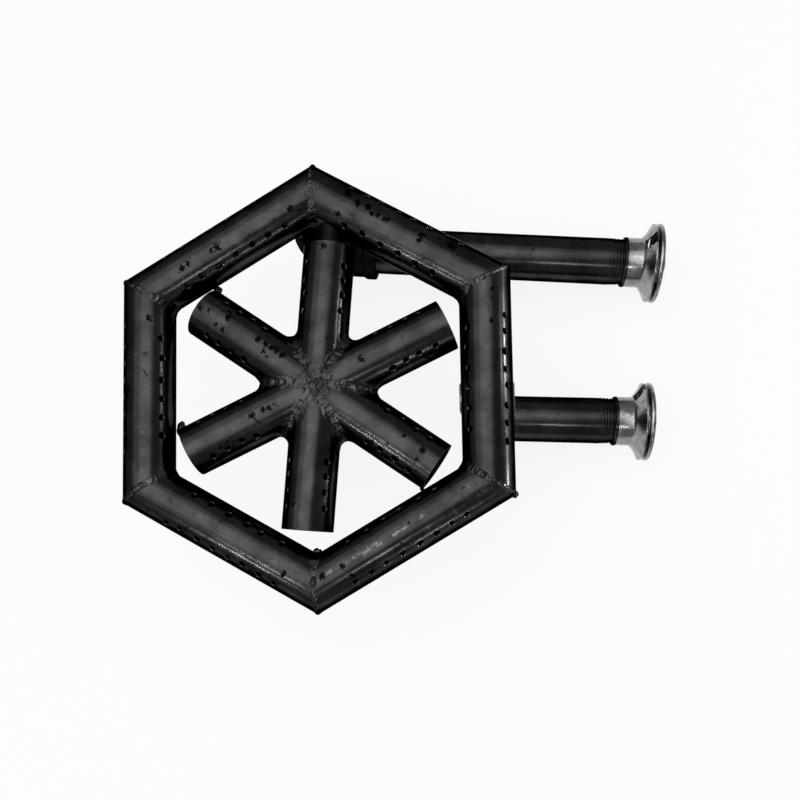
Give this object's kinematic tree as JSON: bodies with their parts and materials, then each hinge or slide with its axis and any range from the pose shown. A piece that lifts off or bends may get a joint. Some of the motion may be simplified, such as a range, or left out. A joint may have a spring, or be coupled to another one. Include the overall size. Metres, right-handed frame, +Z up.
{
  "type": "double star gas burner",
  "caption": "Drilled pipe ring round a star of drilled pipe arms, fed from below by inlet pipes with cast air mixers, turning air shutters and brass jets.",
  "frame": {"origin": "middle of the part in plan, at the height of the mixers' lowest point", "axes": "+X towards the mixers, +Y towards the ring's top corner that the longer inlet feeds, +Z up through the flame ports"},
  "size_m": [0.374, 0.2972, 0.1355],
  "materials": {
    "black_lacquer": "satin black lacquer on steel pipe",
    "weld_bead": "lumpy weld bead under thin black lacquer",
    "black_iron": "blackened malleable iron",
    "cast_aluminium": "bright turned and cast aluminium",
    "plated_steel": "zinc plated",
    "brass_jet": "machined brass"
  },
  "bodies": {
    "burner": {"ring_tube_1": "black_lacquer", "ring_tube_2": "black_lacquer", "ring_tube_3": "black_lacquer", "ring_tube_4": "black_lacquer", "ring_tube_5": "black_lacquer", "ring_tube_6": "black_lacquer", "ring_weld_1": "weld_bead", "ring_weld_2": "weld_bead", "ring_weld_3": "weld_bead", "ring_weld_4": "weld_bead", "ring_weld_5": "weld_bead", "ring_weld_6": "weld_bead", "star_arm_1": "black_lacquer", "star_arm_2": "black_lacquer", "star_arm_3": "black_lacquer", "star_arm_4": "black_lacquer", "star_arm_5": "black_lacquer", "star_arm_6": "black_lacquer", "end_plate_1": "black_lacquer", "end_plate_2": "black_lacquer", "end_plate_3": "black_lacquer", "end_plate_4": "black_lacquer", "end_plate_5": "black_lacquer", "end_plate_6": "black_lacquer", "star_weld_1": "weld_bead", "star_weld_2": "weld_bead", "star_weld_3": "weld_bead", "star_weld_4": "weld_bead", "star_weld_5": "weld_bead", "star_weld_6": "weld_bead", "hub_weld_top": "weld_bead", "hub_weld_bottom": "weld_bead", "star_link": "black_lacquer", "star_tack_1": "weld_bead", "star_tack_2": "weld_bead", "star_tack_3": "weld_bead", "corner_riser": "black_lacquer", "corner_riser_weld": "weld_bead", "corner_elbow": "black_iron", "corner_inlet_pipe": "black_lacquer", "side_riser": "black_lacquer", "side_riser_weld": "weld_bead", "side_inlet_pipe": "black_lacquer", "corner_mixer_bell": "cast_aluminium", "side_mixer_bell": "cast_aluminium", "corner_shutter_washer": "plated_steel", "side_shutter_washer": "plated_steel", "corner_shutter_nut": "plated_steel", "side_shutter_nut": "plated_steel", "corner_gas_jet": "brass_jet", "side_gas_jet": "brass_jet"},
    "corner_shutter": {"corner_air_shutter": "cast_aluminium"},
    "side_shutter": {"side_air_shutter": "cast_aluminium"}
  },
  "joints": [
    {"name": "corner_shutter_turn", "type": "hinge", "parent": "burner", "child": "corner_shutter", "pos_m": [0.18019, 0.10184, 0.02837], "axis": [0.9959, -0.0906, 0], "range_deg": [0, 60]},
    {"name": "side_shutter_turn", "type": "hinge", "parent": "burner", "child": "side_shutter", "pos_m": [0.16923, -0.01566, 0.02837], "axis": [0.9986, -0.0523, 0], "range_deg": [0, 60]}
  ]
}
